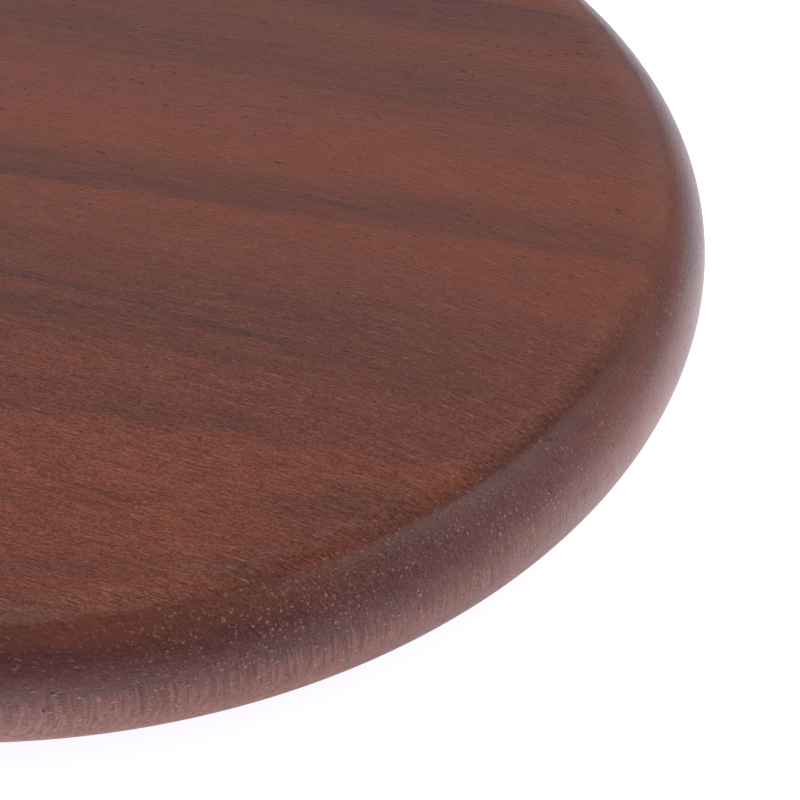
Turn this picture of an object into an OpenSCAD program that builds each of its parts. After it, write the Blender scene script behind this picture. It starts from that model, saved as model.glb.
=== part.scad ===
// Round drink coaster turned from one solid piece of walnut. Two flat faces, the
// upper for the glass and the lower for the table, and an edge that rolls from one
// face to the other in tangent arcs.
// Origin at the centre of the underside, +Z up along the disc's axis.

/* [Disc] */
// Diameter of the disc across its widest line
disc_d = 95; // [80:1:120]
// Thickness of the disc from face to face
disc_h = 10; // [6:0.5:14]

/* [Edge] */
// What the side's radius has over half the thickness, so that each shoulder shows
side_extra_r = 0.5; // [0.2:0.1:3]
// Radius of the shoulder, the tight arc between a face and the side
shoulder_r = 1.5; // [0.8:0.1:2.5]
// Radius of the roll-over, the wide arc where sanding has let a face fall away
roll_r = 8; // [4:0.5:12]
// Slope of the roll-over where it meets the shoulder, in degrees
roll_slope = 12; // [6:1:14]

/* [Hidden] */
// Straight segments in a full turn, for the preview
$fn = 180;

// Walnut, oiled
walnut_colour = [0.43, 0.27, 0.22];

// How far a sector's wedge reaches past its arc, as a share of the radius
wedge_share = 1.6;

// The edge is a chain of tangent arcs in the half plane of radius and height. A
// point on an arc is named by its slope, the angle that the surface has turned
// through from level: 0 on the face and 90 at the widest line.
function outward(slope) = [sin(slope), cos(slope)];

// The side arc, centred at half height
side_r = disc_h / 2 + side_extra_r;
side_centre = [disc_d / 2 - side_r, disc_h / 2];

// Slope where shoulder and side meet, from the rise of the chain to the face
shoulder_rise = disc_h / 2 - roll_r + (roll_r - shoulder_r) * cos(roll_slope);
side_slope = acos(shoulder_rise / (side_r - shoulder_r));

// The shoulder and the roll-over, each centred so that it runs on from the last arc
shoulder_centre = side_centre + (side_r - shoulder_r) * outward(side_slope);
roll_centre = shoulder_centre + (shoulder_r - roll_r) * outward(roll_slope);

// Where one arc ends and the next starts, from the face outward
face_end = [roll_centre[0], disc_h];
roll_end = roll_centre + roll_r * outward(roll_slope);
shoulder_end = side_centre + side_r * outward(side_slope);

// A point's place on the other face
function underneath(point) = [point[0], disc_h - point[1]];

// Slice of a round, from the centre out to the arc between two slopes
module sector(centre, r, slope_from, slope_to) {
    reach = r * wedge_share;
    translate(centre)
        intersection() {
            circle(r);
            polygon([
                [0, 0],
                reach * outward(slope_from),
                reach * outward((slope_from + slope_to) / 2),
                reach * outward(slope_to),
            ]);
        }
}

// Shoulder and roll-over of the upper face
module face_edge() {
    sector(shoulder_centre, shoulder_r, roll_slope, side_slope);
    sector(roll_centre, roll_r, 0, roll_slope);
}

// Half section of the disc, from its axis to its edge
module disc_section() {
    polygon([
        [0, 0],
        underneath(face_end),
        underneath(roll_end),
        underneath(shoulder_end),
        shoulder_end,
        roll_end,
        face_end,
        [0, disc_h],
    ]);
    sector(side_centre, side_r, side_slope, 180 - side_slope);
    face_edge();
    translate([0, disc_h]) mirror([0, 1]) face_edge();
}

module coaster_disc() {
    color(walnut_colour) rotate_extrude() disc_section();
}

coaster_disc();
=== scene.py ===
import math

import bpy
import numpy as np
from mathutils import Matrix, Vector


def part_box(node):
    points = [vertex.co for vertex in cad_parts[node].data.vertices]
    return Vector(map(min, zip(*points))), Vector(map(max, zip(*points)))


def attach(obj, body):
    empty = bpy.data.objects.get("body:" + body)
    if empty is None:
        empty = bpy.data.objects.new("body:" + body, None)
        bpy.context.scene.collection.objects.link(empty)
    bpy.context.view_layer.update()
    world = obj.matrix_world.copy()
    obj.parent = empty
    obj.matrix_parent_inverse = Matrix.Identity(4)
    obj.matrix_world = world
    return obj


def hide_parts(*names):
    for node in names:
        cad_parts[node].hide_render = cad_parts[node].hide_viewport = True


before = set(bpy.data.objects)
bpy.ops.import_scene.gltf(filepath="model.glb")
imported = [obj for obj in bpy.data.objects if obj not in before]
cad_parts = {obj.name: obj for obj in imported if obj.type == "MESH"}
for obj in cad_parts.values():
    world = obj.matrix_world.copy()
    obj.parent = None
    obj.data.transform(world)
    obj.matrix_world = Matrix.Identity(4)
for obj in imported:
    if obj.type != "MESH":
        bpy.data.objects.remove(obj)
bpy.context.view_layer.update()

# A round walnut drink coaster with softened edges, in metres, with +Z up and its underside on z = 0.
# The disc is a surface of revolution worked out with numpy. Its wood is a solid pattern: growth rings,
# pores, rays and fibres run through the board, so that the faces and the edge show the same timber.

MM = 0.001

# The edge of the disc, as the part has it
ROLL_R = 8.0 * MM
ROLL_SLOPE = math.radians(12.0)
SHOULDER_R = 1.5 * MM
SIDE_EXTRA_R = 0.5 * MM

# The mesh of the disc: steps round it, and about how far apart its rings lie
SECTORS = 600
FACE_STEP = 1.6 * MM
EDGE_STEP = 0.2 * MM
SHOULDER_STEP = 0.4 * MM
FEWEST_ARC_STEPS = 2

# What each point of the mesh also holds: how far out over the edge it lies, in metres, measured
# along the profile from the end of its face
EDGE_RUN = "edge_run"


# Shape

def arc(centre, radius, slopes):
    """Points of an arc: its centre plus its radius times (sin slope, cos slope).

    The slope is the angle between straight up and the surface's normal, and a point is (radius from
    the disc's axis, height).
    """
    return np.asarray(centre) + radius * np.stack([np.sin(slopes), np.cos(slopes)], axis=-1)


def arc_slopes(radius, start, end, step=EDGE_STEP):
    """Slopes from start to end, about a step apart along an arc of that radius, without the end."""
    steps = max(FEWEST_ARC_STEPS, round(abs(radius * (end - start)) / step))
    return np.linspace(start, end, steps, endpoint=False)


def half_profile(widest_r, disc_h):
    """The upper half of the disc's profile, from the axis out to the widest line.

    The face runs out flat. Three arcs follow, each tangent to the next: a wide roll-over, a tight
    shoulder and the round side. The side's slope at the shoulder is where the shoulder's circle,
    tangent inside the side's, reaches down to the roll-over's. Also returns the face's radius.
    """
    half_h = disc_h / 2
    side_r = half_h + SIDE_EXTRA_R
    side_centre = np.array([widest_r - side_r, half_h])
    drop = half_h - ROLL_R + (ROLL_R - SHOULDER_R) * math.cos(ROLL_SLOPE)
    side_slope = math.acos(drop / (side_r - SHOULDER_R))
    shoulder_centre = arc(side_centre, side_r - SHOULDER_R, side_slope)
    roll_centre = arc(shoulder_centre, SHOULDER_R - ROLL_R, ROLL_SLOPE)
    face_r = roll_centre[0]
    rings = round(face_r / FACE_STEP)
    face = np.stack([np.linspace(0, face_r, rings, endpoint=False), np.full(rings, disc_h)], axis=-1)
    roll = arc(roll_centre, ROLL_R, arc_slopes(ROLL_R, 0, ROLL_SLOPE))
    shoulder_slopes = arc_slopes(SHOULDER_R, ROLL_SLOPE, side_slope, SHOULDER_STEP)
    shoulder = arc(shoulder_centre, SHOULDER_R, shoulder_slopes)
    side = arc(side_centre, side_r, arc_slopes(side_r, side_slope, math.pi / 2))
    widest = np.array([[widest_r, half_h]])
    return np.concatenate([face, roll, shoulder, side, widest]), face_r


def turned_disc(name, low, high):
    """The disc: its profile carried round the axis in SECTORS steps, closed by one point on each face.

    A point of the surface is (r cos a, r sin a, z), with (r, z) from the profile and a the azimuth.
    The lower half of the profile is the upper half mirrored at mid height. The run over the edge is
    the profile's length up to a point, from the nearer face's middle, less the face's radius.
    """
    widest_r = min(high[0], high[1], -low[0], -low[1])
    disc_h = high[2] - low[2]
    upper, face_r = half_profile(widest_r, disc_h)
    lower = upper[-2::-1] * (1, -1) + (0, disc_h)
    profile = np.concatenate([upper, lower])
    profile[:, 1] += low[2]
    run = np.concatenate([[0], np.cumsum(np.hypot(*np.diff(profile, axis=0).T))])
    edge_run = np.minimum(run, run[-1] - run) - face_r
    azimuth = np.linspace(0, 2 * math.pi, SECTORS, endpoint=False)
    around = np.stack([np.cos(azimuth), np.sin(azimuth)], axis=-1)
    rings = profile[1:-1]
    grid = np.empty((len(rings), SECTORS, 3))
    grid[..., :2] = rings[:, None, :1] * around
    grid[..., 2] = rings[:, 1:]
    top, bottom = (0, 0, profile[0, 1]), (0, 0, profile[-1, 1])
    points = np.concatenate([[top], grid.reshape(-1, 3), [bottom]])
    runs = np.concatenate([edge_run[:1], np.repeat(edge_run[1:-1], SECTORS), edge_run[-1:]])

    index = 1 + np.arange(len(rings) * SECTORS).reshape(len(rings), SECTORS)
    ahead = np.roll(index, -1, axis=1)
    walls = np.stack([index[:-1], index[1:], ahead[1:], ahead[:-1]], axis=-1).reshape(-1, 4)
    cap_top = np.stack([np.zeros(SECTORS, int), index[0], ahead[0]], axis=-1)
    cap_bottom = np.stack([np.full(SECTORS, len(points) - 1), ahead[-1], index[-1]], axis=-1)
    mesh = bpy.data.meshes.new(name)
    mesh.from_pydata(points.tolist(), [], cap_top.tolist() + walls.tolist() + cap_bottom.tolist())
    mesh.attributes.new(EDGE_RUN, "FLOAT", "POINT").data.foreach_set("value", runs)
    mesh.shade_smooth()
    piece = bpy.data.objects.new(name, mesh)
    bpy.context.scene.collection.objects.link(piece)
    return piece


# Shader maths

class Nodes:
    """The node tree of a material or of the world, and the one way to add a node to it."""

    def __init__(self, owner):
        owner.use_nodes = True
        self.tree = owner.node_tree
        self.tree.nodes.clear()

    def add(self, kind, settings=None, sockets=None):
        """Adds a node: its settings first, then the values or links of its sockets."""
        node = self.tree.nodes.new("ShaderNode" + kind)
        for name, value in (settings or {}).items():
            setattr(node, name, value)
        for name, value in (sockets or {}).items():
            self.feed(node.inputs[name], value)
        return node

    def feed(self, socket, value):
        """Links a socket to a Number or an output, or sets its value."""
        if isinstance(value, Number):
            value = value.socket
        if isinstance(value, bpy.types.NodeSocket):
            self.tree.links.new(value, socket)
        else:
            socket.default_value = value

    def numbers(self, kind, sockets):
        """The outputs of a node that splits a vector or a colour, each as a Number."""
        return [Number(self, socket) for socket in self.add(kind, {}, sockets).outputs]


class Number:
    """A value that changes over a surface. Each sum or product of it adds a Math node."""

    def __init__(self, nodes, socket):
        self.nodes = nodes
        self.socket = socket

    def math(self, operation, *others):
        """A Math node of this number and the others."""
        values = dict(enumerate((self, *others)))
        node = self.nodes.add("Math", {"operation": operation}, values)
        return Number(self.nodes, node.outputs[0])

    def __add__(self, other):
        return self.math("ADD", other)

    __radd__ = __add__

    def __mul__(self, other):
        return self.math("MULTIPLY", other)

    __rmul__ = __mul__

    def __sub__(self, other):
        return self.math("SUBTRACT", other)

    def __rsub__(self, other):
        return -1 * self + other

    def __truediv__(self, other):
        return self.math("DIVIDE", other)

    def most(self, other):
        return self.math("MAXIMUM", other)

    def least(self, other):
        return self.math("MINIMUM", other)

    def step(self, start, end):
        """0 at start and 1 at end, smoothly, in either order."""
        sockets = {"Value": self, "From Min": start, "From Max": end}
        node = self.nodes.add("MapRange", {"interpolation_type": "SMOOTHSTEP"}, sockets)
        return Number(self.nodes, node.outputs["Result"])

    def from_to(self, first, last):
        """First where the number is 0, last where it is 1, and evenly between."""
        return self * (last - first) + first


def patch(measures, *bounds):
    """The product of smooth steps, each on one measure: its name, where it is 0 and where it is 1."""
    name, start, full = bounds[0]
    mask = measures[name].step(start, full)
    for name, start, full in bounds[1:]:
        mask = mask * measures[name].step(start, full)
    return mask


def noise(nodes, place, pattern):
    """Noise from about 0 to 1. Its pattern is the blobs' spans along each direction, and three values.

    They are the detail, the roughness and a shift, which sets one pattern apart from another.
    """
    spans, detail, roughness, shift = pattern
    scaled = [value / span + shift for value, span in zip(place, spans)]
    vector = nodes.add("CombineXYZ", {}, dict(enumerate(scaled))).outputs[0]
    node = nodes.add("TexNoise", {}, {
        "Vector": vector, "Scale": 1.0, "Detail": detail, "Roughness": roughness})
    return Number(nodes, node.outputs[0])


# Sockets of a Mix node that mixes colours
MIX_FIRST = 6
MIX_SECOND = 7
MIX_RESULT = 2


def mixed(nodes, share, first, second, blend="MIX"):
    """A colour between two colours."""
    node = nodes.add("Mix", {"data_type": "RGBA", "blend_type": blend}, {"Factor": share})
    nodes.feed(node.inputs[MIX_FIRST], first)
    nodes.feed(node.inputs[MIX_SECOND], second)
    return node.outputs[MIX_RESULT]


def tinted(nodes, share, colour, tint):
    """A colour multiplied by a tint, to the given share."""
    return mixed(nodes, share, colour, tint, "MULTIPLY")


def flecked(nodes, fleck, colour):
    """A colour times 1 plus the fleck, weighed for red, green and blue."""
    spread = nodes.add("VectorMath", {"operation": "SCALE"}, {"Vector": FLECK_WEIGHTS, "Scale": fleck})
    gain = nodes.add("VectorMath", {"operation": "ADD"}, {0: spread.outputs[0], 1: (1, 1, 1)})
    return nodes.add("VectorMath", {"operation": "MULTIPLY"}, {0: colour, 1: gain.outputs[0]}).outputs[0]


# The measures of a point of the board are in millimetres. They are along the grain, across it, near (as
# across, but towards the photograph's viewpoint), height in the thickness, level (the height, less a
# drop at the left end) and run, how far out over the edge. Right is where along is large.
GRAIN_TURN = math.radians(22.0)
LEVEL_DROP = 0.7
LEVEL_DROP_SPAN = (24, 12)

# Fibres and pores lie along strands. They lean, more on the near side, and bend at the right end.
STRAND_LEAN = 0.21
STRAND_LEAN_SPAN = (38, -12)
FAR_LEAN = -0.08
STRAND_BEND = 3.9
STRAND_BEND_SPAN = (24, 60)

# Where the edge's own look starts and is full, in run. At the right end it starts later.
EDGE_SPAN = (0.8, 2.8)
EDGE_DELAY = 0.8
RIGHT_END = ("along", 39, 46)
EDGE_LEFT = ("along", 36, 16)
EDGE_LOW = ("height", 6.8, 5.4)

# Growth rings dip through the board and wander in it. Bands of them are given across the grain, in
# millimetres, at the height of the top face: where the dark starts and is full, where it fades and is
# gone, its depth, and its lean along the grain.
DISC_TOP = 10.0
RING_DIP = math.radians(12.8)
RING_WANDER = ((60, 14, 8), 2, 0.5, 3.1)
RING_WANDER_REACH = 1.5
RING_RIPPLE = ((9, 1.2, 1.0), 3, 0.6, 7.7)
RING_RIPPLE_REACH = 1.4
GROWTH_BANDS = (
    (-47.0, -46.0, -42.0, -38.0, 0.26, 0.00),
    (-43.0, -40.0, -34.0, -32.0, 0.12, 0.00),
    (-42.8, -41.8, -40.8, -39.3, 0.14, 0.27),
    (-34.8, -33.4, -32.8, -31.2, 0.16, 0.20),
    (-33.4, -32.2, -31.8, -30.0, 0.06, 0.00),
    (-24.4, -22.8, -21.6, -17.8, 0.29, 0.055),
    (-19.6, -13.4, -10.5, -1.5, 0.42, -0.02),
    (-10.4, -9.8, -9.6, -8.6, 0.12, -0.13),
    (-5.0, -3.0, -1.0, 1.0, 0.07, 0.00),
    (-0.6, 0.6, 2.0, 5.8, 0.45, 0.03),
    (11.8, 12.4, 16.0, 22.0, 0.08, -0.06),
    (13.0, 18.0, 21.0, 24.8, 0.34, -0.04),
    (20.5, 27.3, 27.8, 30.0, 0.55, 0.00),
    (36.5, 37.2, 39.0, 45.0, 0.55, 0.03),
    (47.0, 48.0, 50.0, 56.0, 0.50, -0.02),
    (58.0, 58.7, 60.0, 66.0, 0.60, -0.03),
    (68.0, 69.0, 71.0, 75.0, 0.45, 0.00),
    (77.0, 77.8, 81.0, 87.0, 0.60, 0.04),
    (89.0, 90.0, 92.0, 96.0, 0.50, 0.00),
)

# Noise patterns of the wood, with their spans in millimetres along, across and through the board, or
# along the strands for streaks, fibres, rays and speckle. Sanding lines run round the edge.
NOISE_MIDDLE = 0.5
BROAD = ((45, 7, 5), 2, 0.5, 11.3)
MOTTLE = ((4.0, 1.5, 1.5), 3, 0.6, 21.7)
STREAK = ((12, 0.45, 0.45), 2, 0.6, 9.4)
FIBRE = ((2.0, 0.13, 0.13), 2, 0.6, 5.5)
RAY = ((0.45, 0.12, 3.0), 2, 0.6, 31.9)
SPECKLE = ((0.26, 0.11, 0.12), 2, 0.7, 15.5)
WISP = ((22, 0.9, 0.6), 3, 0.6, 17.3)
SANDING = ((18, 18, 0.11), 2, 0.5, 2.9)
BLOTCH = ((0.9, 0.35, 0.30), 2, 0.6, 12.6)
CROWD = ((18, 1.6, 1.6), 2, 0.5, 27.1)

# The wood's colours
LIGHT_WOOD = (0.280, 0.062, 0.020, 1)
WARM_WOOD = (0.304, 0.066, 0.016, 1)
DARK_WOOD = (0.085, 0.022, 0.014, 1)
EDGE_TINT_AND_PAINTED_SHEEN = (0.81, 1.08, 2.25, 1)
ROLL_TINT = (1.07, 1.24, 1.45, 1)
PAINTED_NEAR_SHADE_TINT = (1.00, 0.93, 0.86, 1)
STAIN_TINT = (0.35, 0.50, 0.90, 1)
PORE_PALE = (0.480, 0.220, 0.175, 1)
PORE_DARK = (0.045, 0.018, 0.012, 1)

# Where the light wood turns warm
WARMTH_OF_BROAD = 1.2
WARMTH_OF_MOTTLE = 0.8
WARMTH_LESS = 0.65
WARMTH_SPAN = (0.10, 0.60)

# The tone, from 0 for light wood to 1 for dark wood. Wisps break up the growth bands, which are
# fainter on the edge and to the right. Pairs give a share off and on the edge, or its least and most.
TONE_BASE = 0.17
TONE_OF_EDGE = 0.14
WISP_SPAN = (0.30, 0.70)
WISP_SHARES = (0.72, 1.22)
BANDS_ON_EDGE = (1.0, 0.3)
BANDS_TO_THE_RIGHT = (1.0, 0.55)
CALM_SIDE = ("along", 22, 48)
# Painted light: the low part of the edge paler, below a line that tilts a little across the grain.
LOW_EDGE_PAINTED_LIGHT_TILT = 0.035
LOW_EDGE_PAINTED_LIGHT_SPAN = (8.1, 6.1)
LOW_EDGE_PAINTED_LIGHT_TONE = 0.28
SANDING_TONE = 0.30
STREAK_TONE = 0.40
MOTTLE_TONES = (0.30, 0.70)

# Painted shade and painted light: patches that are darker, or paler where the first number is below 0:
# how much, and their bounds
PAINTED_LIGHT_AND_SHADE_PATCHES = (
    # Painted shade: a dark band round the middle of the edge, on the near side
    (0.20, (("level", 8.7, 7.9), ("height", 4.7, 5.9), ("near", 26, 38))),
    # Painted light: the shoulder paler on the near side
    (-0.14, (("run", 1.2, 2.2), ("run", 4.0, 3.2), ("near", 26, 38))),
    # Painted shade: a dark line along the crease on the right
    (0.24, (("run", 0.2, 1.6), ("run", 4.2, 2.4), ("along", 30, 42), ("near", -2, 8))),
    # Painted shade: dark just inside the crease on the near right
    (0.26, (("run", -6.5, -2.0), ("run", 2.2, 1.0), ("along", 22, 31), ("along", 41, 33), ("near", 20, 28))),
    # Painted shade: the edge darker at the right end, on its far side
    (0.25, (("along", 43.0, 46.5), ("across", -8, 4), ("run", 1.8, 2.8))),
    # Painted highlight: a paler band high on the edge at the right end, on its near side
    (-0.18, (("height", 9.1, 8.2), ("height", 5.4, 6.6), ("along", 41, 46), ("across", 8, 3))),
    # Painted highlight: a pale stripe along the shoulder on the near right
    (-0.12, (("run", 1.7, 2.3), ("run", 3.6, 2.9), ("along", 36, 40), ("near", 16, 20))),
)

# Where each tint lies, and how much of it shows outside and inside the places that it spares. The near
# side's is painted shade on the near side of the faces, a little darker and warmer with less sheen. The
# roll's is on the roll-over, and the edge's, partly the end grain's own colour and partly painted sheen,
# is where the edge has its own look. The stain's is in blotches of the edge, along one growth ring.
PAINTED_NEAR_SHADE_PLACE = (("near", 2, 26), ("run", 0.2, -1.2))
ROLL_PLACE = (("run", -1.0, 0.7), ("run", 2.2, 1.5))
ROLL_SPARED = (("along", 22, 31), ("along", 42, 33))
ROLL_SHARES = (1.0, 0.4)
EDGE_TOP = ("height", 7.8, 9.0)
EDGE_TOP_SHARES = (1.0, 0.2)
EDGE_FOOT = ("height", 3.6, 1.8)
EDGE_FOOT_SHARES = (1.0, 0.3)
STAIN_START = (0.2, 1.4)
STAIN_END = (3.8, 2.4)
STAIN_BLOTCHES = (0.44, 0.62)
STAIN_SHARE = 0.5

# Flecks: how much they change red, green and blue, and their strength off and on the edge, or for rays
# off and on its low part. Then how dark the darkest is, how clear they all are from the far side to the
# near one, and what share of them shows high on the left of the edge.
FLECK_WEIGHTS = (0.7, 1.3, 1.8)
RAY_FLECKS = (1.2, 2.3)
FIBRE_FLECKS = (1.7, 1.3)
SPECKLE_FLECKS = (3.0, 0.9)
FLECK_LEAST = -0.5
CLEAR_SIDE = ("near", -6, 30)
CLEAR_SHARES = (0.36, 1.22)
CLEAR_HIGH_LEFT = (1.0, 0.38)

# Two sizes of pore: about how far apart they are, their radius, their dip and what sets them apart.
# They sway and wave as they run. Their widths differ, and swell in crowds and on the edge. A pore shows
# from its rim to its core, which are shares of its radius.
BIG_PORES = {"spacing": 0.50, "radius": 0.105, "dip": math.radians(-13), "shift": 0.3}
SMALL_PORES = {"spacing": 0.30, "radius": 0.060, "dip": math.radians(-16), "shift": 40.7}
PORE_SWAY_SPANS = (25, 6, 6)
PORE_WAVE_SPANS = (2.5, 0.7, 0.7)
PORE_DETAIL = 1
PORE_ROUGHNESS = 0.5
PORE_WAVE_SHIFT = 3.7
SWAY_DEPTH = 2.0
SWAY_SIDE = 1.2
WAVE_DEPTH = 0.6
PORE_WIDTHS = (0.5, 1.1)
PORE_RIM = 1.25
PORE_CORE = 0.4
CROWD_SPAN = (0.40, 0.60)
CROWD_SWELL = 0.25
EDGE_SWELL = 0.25
SWELL_BASE = 0.42

# Which pores are dark and which are pale, by the number that differs per pore, and how plainly they
# show. Pale ones show more on the edge and in crowds, and less on the left of the edge.
BIG_DARK = (0.05, 0.02)
SMALL_DARK = (0.22, 0.14)
BIG_PALE = (0.15, 0.60)
SMALL_PALE = (0.35, 0.70)
SMALL_PALE_SHARE = 0.9
PALE_BASE = 0.25
PALE_ON_EDGE = 0.46
PALE_LESS_LEFT = 0.26
PALE_IN_CROWDS = 0.20
DARK_SHARE = 0.75

# Relief and gloss: the depth of a relief of 1, what stands in the relief, and the roughness
RELIEF_DEPTH = 0.06 * MM
FIBRE_RELIEF = 0.25
RAY_RELIEF = 0.22
SPECKLE_RELIEF = 0.30
SANDING_RELIEF = 0.25
PALE_PORE_RELIEF = 0.35
DARK_PORE_RELIEF = 1.2
ROUGHNESS = 0.30
FIBRE_ROUGHNESS = 0.12
MOTTLE_ROUGHNESS = 0.10
PORE_ROUGHENING = 0.10
OILED_WOOD_IOR = 1.47


# The wood

class Board:
    """A point of the board: its measures, its place on the strands, and what several parts share."""

    def __init__(self, nodes):
        self.nodes = nodes
        along, across, height = nodes.numbers("SeparateXYZ", {"Vector": self.turned_place()})
        run = Number(nodes, nodes.add("Attribute", {"attribute_name": EDGE_RUN}).outputs["Fac"]) / MM
        self.place = (along, across, height)
        self.measures = {
            "along": along, "across": across, "near": across * -1, "height": height,
            "level": height - along.step(*LEVEL_DROP_SPAN) * LEVEL_DROP, "run": run}
        lean = across.step(*STRAND_LEAN_SPAN) * STRAND_LEAN + FAR_LEAN
        bend = along.step(*STRAND_BEND_SPAN) * STRAND_BEND
        self.strand = (along, across + along * lean + bend, height)

        self.right_end = self.patch(RIGHT_END)
        self.on_edge = (run - self.right_end * EDGE_DELAY).step(*EDGE_SPAN)
        self.edge_left = self.on_edge * self.patch(EDGE_LEFT)
        self.low_edge = self.on_edge * self.patch(EDGE_LOW)
        high_left = self.edge_left * (1 - self.low_edge)
        self.clear = self.patch(CLEAR_SIDE).from_to(*CLEAR_SHARES) * high_left.from_to(*CLEAR_HIGH_LEFT)

        self.mottle = noise(nodes, self.place, MOTTLE)
        self.fibre = noise(nodes, self.strand, FIBRE)
        self.ray = noise(nodes, self.strand, RAY)
        self.speckle = noise(nodes, self.strand, SPECKLE)
        self.sanding = noise(nodes, (along, across, run), SANDING)
        self.crowd = noise(nodes, self.place, CROWD).step(*CROWD_SPAN)

    def turned_place(self):
        """The point in millimetres, turned so that its first direction lies along the grain."""
        point = self.nodes.add("TexCoord").outputs["Object"]
        return self.nodes.add("Mapping", {}, {
            "Vector": point, "Rotation": (0, 0, GRAIN_TURN), "Scale": (1 / MM, 1 / MM, 1 / MM)}).outputs[0]

    def patch(self, *bounds):
        """A patch of the board, from its bounds on the measures."""
        return patch(self.measures, *bounds)


def growth_line(board):
    """How far across the board a point's growth ring lies where it reaches the top face."""
    _, across, height = board.place
    wander = (noise(board.nodes, board.place, RING_WANDER) - NOISE_MIDDLE) * RING_WANDER_REACH
    ripple = (noise(board.nodes, board.place, RING_RIPPLE) - NOISE_MIDDLE) * RING_RIPPLE_REACH
    return across + (DISC_TOP - height) / math.tan(RING_DIP) + wander + ripple


def growth_darkness(growth, along):
    """How dark the growth rings make a point: the sum of the bands, each with two soft sides."""
    total = None
    for start, full, fade, gone, depth, lean in GROWTH_BANDS:
        here = growth - along * lean
        band = here.step(start, full) * here.step(gone, fade) * depth
        total = band if total is None else total + band
    return total


def wood_tone(board, growth):
    """The tone: the growth bands, the edge, sanding lines, streaks and mottle, and the patches."""
    on_edge = board.on_edge
    along, across, height = board.place
    wisp = noise(board.nodes, board.place, WISP).step(*WISP_SPAN).from_to(*WISP_SHARES)
    bands = growth_darkness(growth, along) * wisp * on_edge.from_to(*BANDS_ON_EDGE)
    tone = bands * board.patch(CALM_SIDE).from_to(*BANDS_TO_THE_RIGHT) + TONE_BASE + on_edge * TONE_OF_EDGE
    # Painted light: the low part of the edge paler.
    painted_low_edge_light = (height - across * LOW_EDGE_PAINTED_LIGHT_TILT).step(*LOW_EDGE_PAINTED_LIGHT_SPAN)
    tone = tone - painted_low_edge_light * on_edge * LOW_EDGE_PAINTED_LIGHT_TONE
    tone = tone + (board.sanding - NOISE_MIDDLE) * on_edge * SANDING_TONE
    tone = tone + (noise(board.nodes, board.strand, STREAK) - NOISE_MIDDLE) * STREAK_TONE
    tone = tone + (board.mottle - NOISE_MIDDLE) * on_edge.from_to(*MOTTLE_TONES)
    # Patches of painted shade and painted light
    for change, bounds in PAINTED_LIGHT_AND_SHADE_PATCHES:
        tone = tone + board.patch(*bounds) * change
    return tone


def wood_colour(board):
    """The wood without its pores: light or warm wood turned dark by the tone, then tinted and flecked."""
    nodes, on_edge = board.nodes, board.on_edge
    growth = growth_line(board)
    broad = noise(nodes, board.place, BROAD)
    warmth = (broad * WARMTH_OF_BROAD + board.mottle * WARMTH_OF_MOTTLE - WARMTH_LESS).step(*WARMTH_SPAN)
    colour = mixed(nodes, warmth, LIGHT_WOOD, WARM_WOOD)
    colour = mixed(nodes, wood_tone(board, growth), colour, DARK_WOOD)

    # Painted shade: the near side of the faces a little darker and warmer, as if it caught less sheen.
    colour = tinted(nodes, board.patch(*PAINTED_NEAR_SHADE_PLACE), colour, PAINTED_NEAR_SHADE_TINT)
    roll = board.patch(*ROLL_PLACE) * board.patch(*ROLL_SPARED).from_to(*ROLL_SHARES)
    colour = tinted(nodes, roll, colour, ROLL_TINT)
    # The edge's tint: partly the end grain's own colour, partly painted sheen that makes the edge bluer and
    # paler.
    right_top = board.right_end * board.patch(EDGE_TOP)
    edge = on_edge * right_top.from_to(*EDGE_TOP_SHARES) * board.patch(EDGE_FOOT).from_to(*EDGE_FOOT_SHARES)
    colour = tinted(nodes, edge, colour, EDGE_TINT_AND_PAINTED_SHEEN)
    blotch = noise(nodes, board.place, BLOTCH).step(*STAIN_BLOTCHES)
    stain = growth.step(*STAIN_START) * growth.step(*STAIN_END) * blotch * on_edge
    colour = tinted(nodes, stain * STAIN_SHARE, colour, STAIN_TINT)

    fleck = (board.ray - NOISE_MIDDLE) * board.low_edge.from_to(*RAY_FLECKS)
    fleck = fleck + (board.fibre - NOISE_MIDDLE) * on_edge.from_to(*FIBRE_FLECKS)
    fleck = fleck + (board.speckle - NOISE_MIDDLE) * on_edge.from_to(*SPECKLE_FLECKS)
    return flecked(nodes, (fleck * board.clear).most(FLECK_LEAST), colour)


def vessels(board, swell, spacing, radius, dip, shift):
    """The pores: long tubes that dip through the board, as dots across the grain and dashes along it.

    A tube is a point of a flat Voronoi pattern square to the tubes. Its radius is multiplied by the swell.
    Returns 0 outside a tube to 1 at its middle, and a number that differs per tube.
    """
    nodes = board.nodes
    along, across, height = board.strand
    sway = noise(nodes, board.strand, (PORE_SWAY_SPANS, PORE_DETAIL, PORE_ROUGHNESS, shift)) - NOISE_MIDDLE
    wave_pattern = (PORE_WAVE_SPANS, PORE_DETAIL, PORE_ROUGHNESS, shift + PORE_WAVE_SHIFT)
    wave = noise(nodes, board.strand, wave_pattern) - NOISE_MIDDLE
    deep = height + along * math.tan(dip) + sway * SWAY_DEPTH + wave * WAVE_DEPTH
    side = across + sway * SWAY_SIDE
    vector = nodes.add("CombineXYZ", {}, {0: side / spacing + shift, 1: deep / spacing + shift}).outputs[0]
    cells = nodes.add("TexVoronoi", {"voronoi_dimensions": "2D"}, {"Vector": vector, "Scale": 1.0})
    width, pick, _ = nodes.numbers("SeparateColor", {"Color": cells.outputs["Color"]})
    wall = width.from_to(*PORE_WIDTHS) * swell * (radius / spacing)
    reach = Number(nodes, cells.outputs["Distance"])
    return reach.step(wall * PORE_RIM, wall * PORE_CORE), pick


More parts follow.
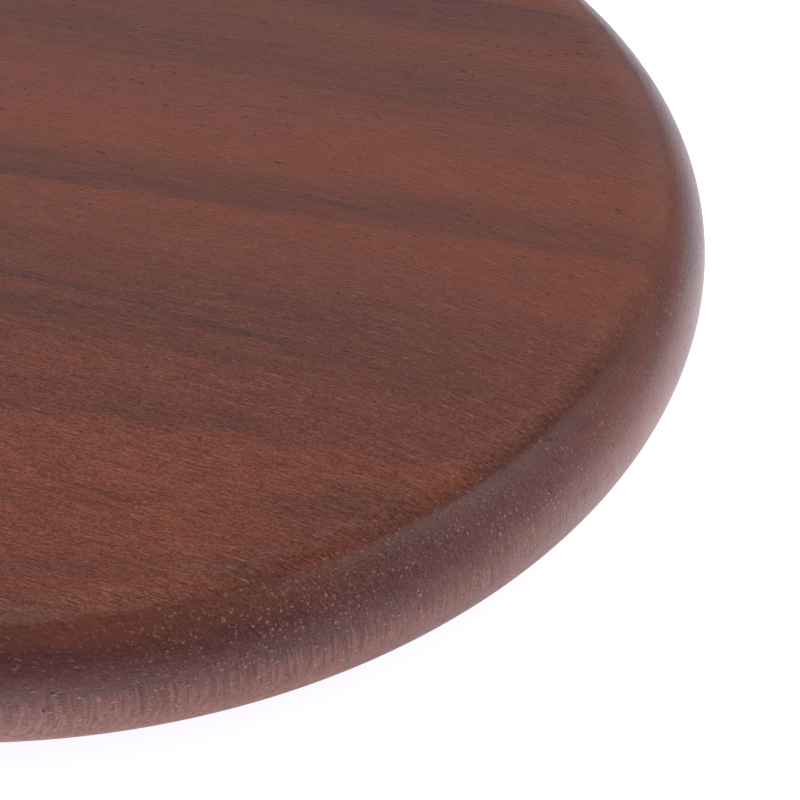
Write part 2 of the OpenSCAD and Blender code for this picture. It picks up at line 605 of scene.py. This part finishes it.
def wood_pores(board):
    """Three masks from 0 to 1: where pores are, where they are pale, and where they are dark."""
    swell = board.crowd * CROWD_SWELL + board.on_edge * EDGE_SWELL + SWELL_BASE
    big, big_pick = vessels(board, swell, **BIG_PORES)
    small, small_pick = vessels(board, swell, **SMALL_PORES)
    pale = big * big_pick.step(*BIG_PALE) + small * small_pick.step(*SMALL_PALE) * SMALL_PALE_SHARE
    dark = big * big_pick.step(*BIG_DARK) + small * small_pick.step(*SMALL_DARK)
    return (big + small).least(1.0), pale.least(1.0), dark


def walnut():
    """Oiled, sanded walnut."""
    material = bpy.data.materials.new("walnut_oiled")
    nodes = Nodes(material)
    board = Board(nodes)
    pores, pale_pores, dark_pores = wood_pores(board)
    plain = board.on_edge * PALE_ON_EDGE - board.edge_left * PALE_LESS_LEFT
    plain = plain + board.crowd * PALE_IN_CROWDS + PALE_BASE
    colour = mixed(nodes, pale_pores * plain * board.clear.least(1.0), wood_colour(board), PORE_PALE)
    colour = mixed(nodes, dark_pores.least(1.0) * DARK_SHARE, colour, PORE_DARK)

    relief = board.fibre * FIBRE_RELIEF + board.ray * RAY_RELIEF + board.speckle * SPECKLE_RELIEF
    relief = relief + board.sanding * board.on_edge * SANDING_RELIEF
    relief = relief + pale_pores * PALE_PORE_RELIEF - dark_pores * DARK_PORE_RELIEF
    bump = nodes.add("Bump", {}, {"Strength": 1.0, "Distance": RELIEF_DEPTH, "Height": relief})
    rough = (board.fibre - NOISE_MIDDLE) * FIBRE_ROUGHNESS + (board.mottle - NOISE_MIDDLE) * MOTTLE_ROUGHNESS
    rough = rough + pores * PORE_ROUGHENING + ROUGHNESS
    shader = nodes.add("BsdfPrincipled", {}, {
        "Base Color": colour, "Roughness": rough, "Normal": bump.outputs[0], "IOR": OILED_WOOD_IOR})
    nodes.add("OutputMaterial", {}, {"Surface": shader.outputs[0]})
    return material


# Studio

# The light table. It is open under the coaster and lies a little below it.
TABLE_R = 3.0
TABLE_HOLE_R = 40.5 * MM
TABLE_DROP = 0.02 * MM
TABLE_SECTORS = 96
TABLE_MATT = (0.35, 0.35, 0.36, 1)
TABLE_LIGHT = (0.96, 0.97, 1.06, 1)

# Its light, where white is 1: more on the left and on the near right, less far out and under the
# coaster's edge. Bounds are in metres. Reach is how far a point lies from the coaster's axis, and
# slant is how far to the right of it and behind it together.
LIGHT_BASE = 1.06
LIGHT_RIGHT = 0.30
LIGHT_RIGHT_PLACE = (("slant", -0.010, 0.020), ("y", 0.018, -0.008))
LIGHT_LEFT = 0.50
LIGHT_LEFT_PLACE = ("x", 0.020, -0.010)
LIGHT_FIELD = ("reach", 0.150, 0.055)
LIGHT_FIELD_SHARES = (0.30, 1.0)
LIGHT_GAP = ("reach", 0.0450, 0.0500)
LIGHT_GAP_SHARES = (0.42, 1.0)

# How white it looks to the camera, what share of that reflections show, and its shade under the edge
TABLE_GLOW = 0.94
REFLECTED_SHARE = 0.45
SHADE_RING = ("reach", 0.0415, 0.0440)
SHADE_SHARES = (0.3, 1.0)

# The air: a backdrop behind and to the right, a ceiling, the room on the camera's side, and a glow at
# the horizon and below. Bounds are on the parts of a direction, which is 1 long: x is to the right, y
# is away from the camera, and z is up.
AIR_COLOUR = (0.93, 0.96, 1.1, 1)
AIR_GLOW = 0.04
BACKDROP_TOP = ("z", 0.665, 0.525)
BACKDROP_BEHIND = ("y", -0.65, 0.10)
BACKDROP_RIGHT = ("x", 0.50, 0.90)
BACKDROP_FOOT = ("z", 0.06, 0.44)
BACKDROP_FOOT_SHARES = (0.25, 1.0)
BACKDROP_MIDDLE = ("x", -0.1, 0.2)
BACKDROP_MIDDLE_SHARES = (0.91, 1.11)
BACKDROP_DIP = ("x", 0.30, 0.75)
BACKDROP_DIP_SHARES = (1.0, 0.75)
BACKDROP_END = ("x", 0.80, 0.92)
BACKDROP_END_MORE = 0.35
BACKDROP_CORNER = (("x", 0.5, 0.7), ("y", 0.5, 0.7))
BACKDROP_CORNER_SHARES = (1.0, 0.5)
CEILING = ("z", 0.5, 0.9)
CEILING_GLOW = 0.13
ROOM = (("y", 0.1, -0.5), ("z", 0.60, 0.25))
ROOM_GLOW = 0.24
HORIZON = ("z", 0.06, 0.02)
HORIZON_GLOW = 0.5
RIGHT_HORIZON = (("z", 0.20, 0.05), ("x", 0.5, 0.9), ("y", 0.4, 0.1))
RIGHT_HORIZON_GLOW = 0.8

# Softboxes: name, bearing and elevation in degrees, width in metres, and brightness where white is 1
SOFTBOXES = (
    ("left_softbox", 150, 58, 0.90, 1.45),
    ("right_softbox", 353, 49, 0.48, 1.96),
)

# The photograph's viewpoint
CAMERA_PLACE = Vector((0.0, -220.3 * MM, 171.9 * MM))
CAMERA_AIM = Vector((23.5 * MM, -27.1 * MM, 10.0 * MM))
CAMERA_LENS = 180.0
CAMERA_CLIP = 0.01
SENSOR_WIDTH = 36.0


def table_white():
    """The table's material: matt white that also glows, brightest where it lights the coaster most.

    The camera sees it as about white, with a trace of the coaster's shadow, and reflections see a share
    of that white.
    """
    material = bpy.data.materials.new("table_white")
    nodes = Nodes(material)
    matt = nodes.add("BsdfDiffuse", {}, {"Color": TABLE_MATT})
    x, y, _ = nodes.numbers("SeparateXYZ", {"Vector": nodes.add("TexCoord").outputs["Object"]})
    spot = {"x": x, "y": y, "slant": x + y, "reach": (x * x + y * y).math("SQRT")}
    light = patch(spot, *LIGHT_RIGHT_PLACE) * LIGHT_RIGHT + patch(spot, LIGHT_LEFT_PLACE) * LIGHT_LEFT
    light = (light + LIGHT_BASE) * patch(spot, LIGHT_FIELD).from_to(*LIGHT_FIELD_SHARES)
    light = light * patch(spot, LIGHT_GAP).from_to(*LIGHT_GAP_SHARES)
    light_path = nodes.add("LightPath").outputs
    seen = Number(nodes, light_path["Is Camera Ray"])
    for ray_kind in ("Is Glossy Ray", "Is Transmission Ray"):
        seen = seen.most(Number(nodes, light_path[ray_kind]) * REFLECTED_SHARE)
    shade = patch(spot, SHADE_RING).from_to(*SHADE_SHARES)
    glow = nodes.add("Emission", {}, {
        "Color": TABLE_LIGHT, "Strength": light.most(seen * shade * TABLE_GLOW)})
    both = nodes.add("AddShader", {}, {0: matt.outputs[0], 1: glow.outputs[0]})
    nodes.add("OutputMaterial", {}, {"Surface": both.outputs[0]})
    return material


def studio_table():
    """The table: a flat ring, with its points at two radii times (cos a, sin a) for azimuths a."""
    azimuth = np.linspace(0, 2 * math.pi, TABLE_SECTORS, endpoint=False)
    around = np.stack([np.cos(azimuth), np.sin(azimuth)], axis=-1)
    points = np.full((2, TABLE_SECTORS, 3), -TABLE_DROP)
    points[0, :, :2] = around * TABLE_HOLE_R
    points[1, :, :2] = around * TABLE_R
    inner = np.arange(TABLE_SECTORS)
    ahead = np.roll(inner, -1)
    faces = np.stack([inner, inner + TABLE_SECTORS, ahead + TABLE_SECTORS, ahead], axis=-1)
    mesh = bpy.data.meshes.new("table")
    mesh.from_pydata(points.reshape(-1, 3).tolist(), [], faces.tolist())
    mesh.materials.append(table_white())
    table = bpy.data.objects.new("table", mesh)
    bpy.context.scene.collection.objects.link(table)


def studio_air():
    """The world round the table: the sum of its glows, or the horizon's where that is more."""
    world = bpy.data.worlds.new("studio")
    bpy.context.scene.world = world
    nodes = Nodes(world)
    x, y, z = nodes.numbers("SeparateXYZ", {"Vector": nodes.add("TexCoord").outputs["Generated"]})
    way = {"x": x, "y": y, "z": z}
    sides = patch(way, BACKDROP_BEHIND).most(patch(way, BACKDROP_RIGHT))
    backdrop = patch(way, BACKDROP_TOP) * sides * patch(way, BACKDROP_FOOT).from_to(*BACKDROP_FOOT_SHARES)
    backdrop = backdrop * patch(way, BACKDROP_MIDDLE).from_to(*BACKDROP_MIDDLE_SHARES)
    dip = patch(way, BACKDROP_DIP).from_to(*BACKDROP_DIP_SHARES)
    backdrop = backdrop * (dip + patch(way, BACKDROP_END) * BACKDROP_END_MORE)
    backdrop = backdrop * patch(way, *BACKDROP_CORNER).from_to(*BACKDROP_CORNER_SHARES)
    glow = AIR_GLOW + backdrop + patch(way, CEILING) * CEILING_GLOW + patch(way, *ROOM) * ROOM_GLOW
    horizon = patch(way, HORIZON) * HORIZON_GLOW + patch(way, *RIGHT_HORIZON) * RIGHT_HORIZON_GLOW
    air = nodes.add("Background", {}, {"Color": AIR_COLOUR, "Strength": glow.most(horizon)})
    nodes.add("OutputWorld", {}, {"Surface": air.outputs[0]})


def soft_light(name, bearing, elevation, width, brightness):
    """A square softbox a metre from the coaster, facing it."""
    light = bpy.data.lights.new(name, "AREA")
    light.size = width
    light.energy = brightness * math.pi * width ** 2
    bearing, elevation = math.radians(bearing), math.radians(elevation)
    flat = math.cos(elevation)
    lamp = bpy.data.objects.new(name, light)
    lamp.location = (flat * math.cos(bearing), flat * math.sin(bearing), math.sin(elevation))
    lamp.rotation_euler = (-lamp.location).to_track_quat("-Z", "Y").to_euler()
    bpy.context.scene.collection.objects.link(lamp)


def photograph_camera():
    """The camera where the photograph was taken from, with its long lens."""
    camera = bpy.data.cameras.new("camera")
    camera.lens = CAMERA_LENS
    camera.sensor_width = SENSOR_WIDTH
    camera.clip_start = CAMERA_CLIP
    viewer = bpy.data.objects.new("camera", camera)
    viewer.location = CAMERA_PLACE
    viewer.rotation_euler = (CAMERA_AIM - CAMERA_PLACE).to_track_quat("-Z", "Y").to_euler()
    bpy.context.scene.collection.objects.link(viewer)
    bpy.context.scene.camera = viewer


photograph_camera()
studio_air()
studio_table()
for softbox in SOFTBOXES:
    soft_light(*softbox)

disc = turned_disc("coaster_walnut_disc", *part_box("coaster_disc"))
disc.data.materials.append(walnut())
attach(disc, "root")
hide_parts("coaster_disc")

bpy.context.scene.view_settings.view_transform = "Standard"
